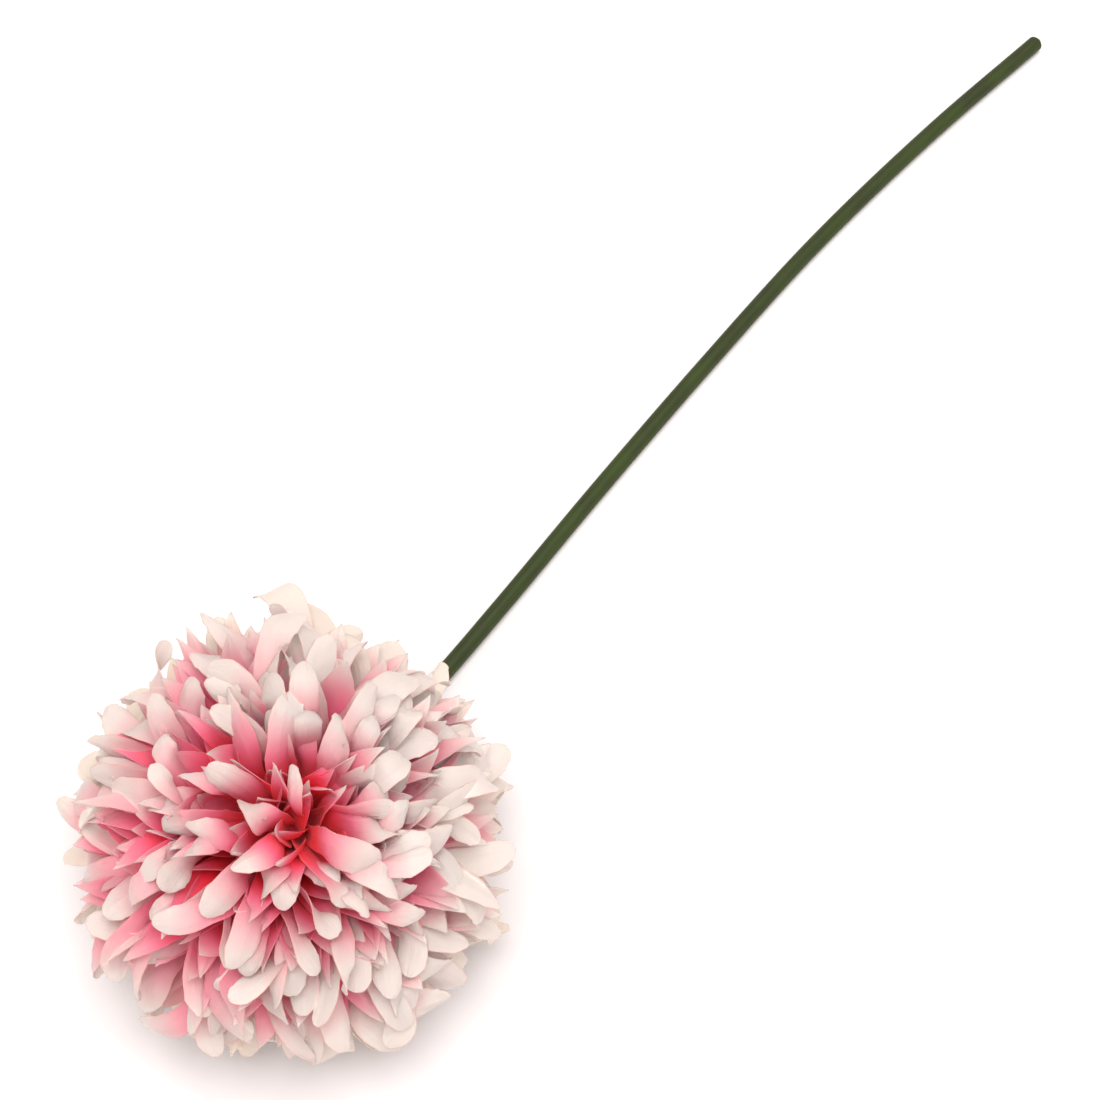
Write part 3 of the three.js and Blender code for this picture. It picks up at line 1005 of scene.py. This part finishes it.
def stem_points(past=0.0):
    """Points from the socket in the heart to the cut end, or a little past it."""
    points = [MIDDLE - FACE * SOCKET_DEPTH, MIDDLE - FACE * (SOCKET_DEPTH + NECK_START) / 2]
    pivot = MIDDLE - FACE * NECK_START + TO_STEM * NECK_BEND_RADIUS
    whole_bend = math.pi / 2 - NECK_SLOPE - math.asin(-FACE[0])
    for step in range(NECK_BEND_STEPS + 1):
        bend = whole_bend * step / NECK_BEND_STEPS
        points.append(pivot - (TO_STEM * math.cos(bend) + FACE * math.sin(bend)) * NECK_BEND_RADIUS)
    for x, y, lift in STEM_LIES:
        points.append(UNDER_BLOOM + (x, y, STEM_RADIUS + lift))
    run = points[-1] - points[-2]
    points[-1] = points[-1] + run / np.linalg.norm(run) * past
    return points


CUT_END = stem_points()[-1]
print("stem ends at, mm:", CUT_END.round(1))

# %% [markdown]
# A tube could be extruded ring by ring, but a Bezier curve with a bevel depth is easier to
# steer, because its points are the line itself. Each knot's slope comes from the way to the
# knots on both sides of it, weighed by the root of their distances, so the curve doesn't
# loop where close knots meet distant ones. Work on the sleeve, the wire and later the calyx
# ends in the same way: faces are turned outwards, and shading is smooth except over the
# sharp edges.

# %% Helpers: a tube through points, made a mesh
RINGS_BETWEEN_KNOTS = 10
RING_FINENESS = 8


def curve_through(name, points, radius):
    """A round tube through the points, as a curve object, in metres."""
    nothing_selected()
    bpy.ops.curve.primitive_bezier_curve_add()
    curve = bpy.context.object
    curve.name = name
    curve.data.resolution_u = RINGS_BETWEEN_KNOTS
    curve.data.bevel_depth = radius * MM
    curve.data.bevel_resolution = RING_FINENESS
    knots = curve.data.splines[0].bezier_points
    knots.add(len(points) - len(knots))
    before = [2 * points[0] - points[1], *points[:-1]]
    after = [*points[1:], 2 * points[-1] - points[-2]]
    for knot, last, here, following in zip(knots, before, points, after):
        come = math.sqrt(np.linalg.norm(here - last))
        go = math.sqrt(np.linalg.norm(following - here))
        slope = (here - last) / come - (following - last) / (come + go) + (following - here) / go
        knot.handle_left_type = knot.handle_right_type = "FREE"
        knot.co = here * MM
        knot.handle_left = (here - slope * come / 3) * MM
        knot.handle_right = (here + slope * go / 3) * MM
    return curve


def made_mesh(curve):
    only(curve)
    bpy.ops.object.convert(target="MESH")
    return settled(bpy.context.object)


def close_up(crisp_from):
    """Ends edit mode. Edges that turn by more than crisp_from degrees stay sharp."""
    bpy.ops.mesh.select_all(action="SELECT")
    bpy.ops.mesh.normals_make_consistent(inside=False)
    bpy.ops.object.mode_set(mode="OBJECT")
    bpy.ops.object.shade_smooth_by_angle(angle=math.radians(crisp_from))


print("knots along the stem:", len(stem_points()))

# %% [markdown]
# The sleeve is a tube with a wall, so it gets its bore from a Solidify modifier. Its cut end
# has been pressed round by the cutter. The curve could taper there, but that would narrow
# the bore too, so the outer edge of the rim gets a wide bevel.

# %% Sleeve
BORE_RADIUS = 1.7
END_ROUNDING = 1.4
CLOSE = 0.05  # how far off its place a picked part may be

sleeve = made_mesh(curve_through("stem_sleeve", stem_points(), STEM_RADIUS))
modified(sleeve, "SOLIDIFY", thickness=(STEM_RADIUS - BORE_RADIUS) * MM, offset=-1)
end = Vector(CUT_END) * MM


def on_rim(edge):
    from_end = [(vertex.co - end).length for vertex in edge.verts]
    return all(abs(distance - STEM_RADIUS * MM) < CLOSE * MM for distance in from_end)


bpy.ops.object.mode_set(mode="EDIT")
pick(sleeve, "edges", on_rim)
bpy.ops.mesh.bevel(offset=END_ROUNDING * MM, segments=5, affect="EDGES")
close_up(crisp_from=50)
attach(sleeve, "root")
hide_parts("stem")
print("sleeve:", triangles(sleeve), "triangles")

# %% [markdown]
# The wire ends a little past the sleeve. Cutters leave a burr on steel wire. A second piece
# could stand for it, but the wire's own end face, inset and pushed out, makes the small
# blunt tip with nothing to join.

# %% Wire
WIRE_RADIUS = 1.2
WIRE_STICKS_OUT = 1.0
BURR_INSET = 0.35
BURR_HEIGHT = 0.25
TIP_INSET = 0.4
QUAD = 4  # corners of every face along the wire, while its end face has more

wire_points = stem_points(past=WIRE_STICKS_OUT)
wire_curve = curve_through("wire", wire_points, WIRE_RADIUS)
wire_curve.data.use_fill_caps = True
wire = made_mesh(wire_curve)
tip = Vector(wire_points[-1]) * MM


def at_tip(face):
    return len(face.verts) > QUAD and (face.calc_center_median() - tip).length < CLOSE * MM


bpy.ops.object.mode_set(mode="EDIT")
pick(wire, "faces", at_tip)
bpy.ops.mesh.inset(thickness=BURR_INSET * MM)
bpy.ops.transform.translate(value=tuple((tip - end).normalized() * BURR_HEIGHT * MM))
bpy.ops.mesh.inset(thickness=TIP_INSET * MM)
bpy.ops.mesh.select_all(action="SELECT")
bpy.ops.mesh.remove_doubles(threshold=0.001 * MM)
close_up(crisp_from=35)
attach(wire, "root")
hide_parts("stem_wire")
print("wire:", triangles(wire), "triangles")

# %% [markdown]
# ## The calyx
#
# A moulded cup sits against the heart's flat back and grips the stem. It is round, so it
# could be spun from a profile, but spin leaves a seam to merge. Here it starts as a circle
# that is extruded and resized ring by ring, and bridged back to its start.

# %% Calyx
CALYX_FRONT = 20.35  # from the bloom's middle
CALYX_RINGS = [  # radius of the outside, and distance behind the front
    (16.2, 0), (16.2, 1.2), (15.6, 2.3), (12.8, 4.35), (9.4, 6.1), (6.8, 7.25), (5.6, 8.6), (5.2, 9.65),
]
CALYX_SIDES = 48
CALYX_HOLE = 3.65

nothing_selected()
bpy.ops.mesh.primitive_circle_add(vertices=CALYX_SIDES, radius=CALYX_HOLE * MM)
calyx = bpy.context.object
calyx.name = "calyx_cup"
bpy.ops.object.mode_set(mode="EDIT")
bpy.ops.mesh.select_mode(type="EDGE")
bpy.ops.mesh.select_all(action="SELECT")
ring_radius, ring_depth = CALYX_HOLE, 0
for next_radius, next_depth in [*CALYX_RINGS, (CALYX_HOLE, CALYX_RINGS[-1][1])]:
    bpy.ops.mesh.extrude_region_move()
    ratio = next_radius / ring_radius
    bpy.ops.transform.resize(value=(ratio, ratio, 1))
    bpy.ops.transform.translate(value=(0, 0, (next_depth - ring_depth) * MM))
    ring_radius, ring_depth = next_radius, next_depth


def round_hole(edge):
    return all(vertex.co.xy.length < (CALYX_HOLE + CLOSE) * MM for vertex in edge.verts)


pick(calyx, "edges", round_hole)
bpy.ops.mesh.bridge_edge_loops()
print("calyx before its ribs:", len(bmesh.from_edit_mesh(calyx.data).faces), "faces")

# %% [markdown]
# Ribs like sepals run down the cup. They could be built up one by one, but it is simpler to
# sink what lies between them: every second sector is inset and pushed in. The cup still
# stands along Z, where a sector is known by its angle. Only then is it turned to face back
# from the bloom and moved to its seat.

# %% Calyx ribs and seat
RIBS_START, RIBS_END = 1.3, 8.0  # distance behind the front
RIBS_OUTSIDE = 5.5
GROOVE_INSET = 0.25
GROOVE_DEPTH = 0.35


def in_groove(face):
    place = face.calc_center_median()
    sector = math.floor(math.atan2(place.y, place.x) / math.tau * CALYX_SIDES / 2)
    on_ribs = RIBS_START * MM < place.z < RIBS_END * MM and place.xy.length > RIBS_OUTSIDE * MM
    return on_ribs and sector % 2 == 0


pick(calyx, "faces", in_groove)
bpy.ops.mesh.inset(thickness=GROOVE_INSET * MM)
bpy.ops.transform.shrink_fatten(value=-GROOVE_DEPTH * MM)
close_up(crisp_from=45)
seated(calyx, -FACE, MIDDLE - FACE * CALYX_FRONT)
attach(calyx, "root")
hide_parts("calyx")
print("calyx:", triangles(calyx), "triangles")

# %% [markdown]
# The sleeve and the calyx are of the same kind of soft plastic, which is never quite even:
# its green is darker in slow clouds, drawing the sleeve through its die left fine streaks
# along it, and handling has dulled it in places. A plain colour would look like paint. Soft
# plastic mirrors little, so its specular level is turned down, or the pale table would grey
# its green.

# %% Plastics
CLOUDS, CLOUD_TONE, CLOUD_DULLS = 60, 0.6, 0.1
STREAKS, STREAK_TONE, STREAK_DULLS = 1500, 0.4, 0.16
DRAWN_OUT = (0.03, 1, 1)  # clouds drawn out along X become streaks
TONE_LOW, TONE_HIGH = 0.3, 0.7
GRAIN = 400
GRAIN_HEIGHT = 0.12
SPECULAR_LEVEL = 0.25


def plastic(name, dark, light, shine):
    finish = Finish(name)
    stretch = {0: finish.place(), 1: DRAWN_OUT}
    drawn = finish.node("ShaderNodeVectorMath", {"operation": "MULTIPLY"}, stretch)
    clouds = finish.noise(CLOUDS, finish.place(), detail=3)
    streaks = finish.noise(STREAKS, drawn)
    tone = CLOUD_TONE * clouds + STREAK_TONE * streaks
    finish.set(
        base_color=finish.mix(tone.rising(TONE_LOW, TONE_HIGH), color(dark), color(light)),
        roughness=shine + STREAK_DULLS * streaks + CLOUD_DULLS * clouds,
    )
    finish.bump((streaks + finish.noise(GRAIN, finish.place())) * 0.5, GRAIN_HEIGHT)
    finish.shader.inputs["Specular IOR Level"].default_value = SPECULAR_LEVEL
    return finish


dressed(sleeve, plastic("sleeve_green", "31391f", "3a4c1c", shine=0.42))
dressed(calyx, plastic("calyx_green", "3e4f29", "4b6030", shine=0.5))

# %% [markdown]
# The end of the wire is bright, freshly cut steel. An even metallic grey would look cast, so
# fine scratches from the cutter vary both its colour and its roughness.

# %% Steel
SCRATCHES = 3000
SCRATCH_DEPTH = 0.05
SCRATCH_DULLS = 0.25

steel = Finish("cut_steel")
scratches = steel.noise(SCRATCHES, steel.place(), detail=3)
steel.set(
    base_color=steel.mix(scratches, color("8c8f90"), color("b4b6b8")),
    metallic=1.0,
    roughness=0.3 + SCRATCH_DULLS * scratches,
)
steel.bump(scratches, SCRATCH_DEPTH)
dressed(wire, steel)

# %% [markdown]
# ## Table and light
#
# The flower lies on a plain white table, wide enough to reach the horizon. A curved studio
# backdrop would do as well, but one plane looks the same from every side.

# %% Table
TABLE_SIZE = 80  # metres
nothing_selected()
bpy.ops.mesh.primitive_plane_add(size=TABLE_SIZE, location=(0, 0, 0))
table = bpy.context.object
table.name = "table"

paper = Finish("table_paper")
paper.set(base_color=(0.98, 0.98, 0.98, 1), roughness=0.9)
dressed(table, paper)

# %% [markdown]
# Most of the light comes from all sides, from a slightly rosy sky, which keeps the gaps
# between the petals warm. It could be a picture of a studio, but the plastic would mirror
# that, so it is one even colour. What the camera sees behind the table is plain white, so
# the sky's colour is only felt and never seen. The Standard view keeps that white white.

# %% Sky
SKY_COLOR = (1, 0.86, 0.84, 1)
SKY_STRENGTH = 0.68
WHITE = (1, 1, 1, 1)

world = bpy.data.worlds.new("studio")
world.use_nodes = True
sky = Nodes(world.node_tree)
sky.tree.nodes.remove(sky.tree.nodes["Background"])
glow = sky.node("ShaderNodeBackground", {}, {"Color": SKY_COLOR, "Strength": SKY_STRENGTH})
backdrop = sky.node("ShaderNodeBackground", {}, {"Color": WHITE})
seen = sky.node("ShaderNodeLightPath", out="Is Camera Ray")
shown = sky.node("ShaderNodeMixShader", {}, {0: seen, 1: glow, 2: backdrop})
sky.feed(sky.tree.nodes["World Output"].inputs["Surface"], shown)
bpy.context.scene.world = world
bpy.context.scene.view_settings.view_transform = "Standard"
print("sky strength:", SKY_STRENGTH)

# %% [markdown]
# One wide, soft lamp from above gives the petals their form. An area lamp over the flower
# would leave the far table dark, so it is a sun, which lights all of it evenly. Its wide
# angle makes the shadows as soft as those of a large studio lamp.

# %% Lamp
LAMP_FROM = Vector((0.02, -0.08, 1.0))
LAMP_STRENGTH = 2.0
LAMP_ANGLE = math.radians(35)

lamp = bpy.data.objects.new("lamp", bpy.data.lights.new("lamp", "SUN"))
bpy.context.collection.objects.link(lamp)
lamp.data.energy = LAMP_STRENGTH
lamp.data.angle = LAMP_ANGLE
lamp.rotation_euler = LAMP_FROM.to_track_quat("Z", "Y").to_euler()
print("lamp shines from", [round(c, 2) for c in LAMP_FROM])

# %% [markdown]
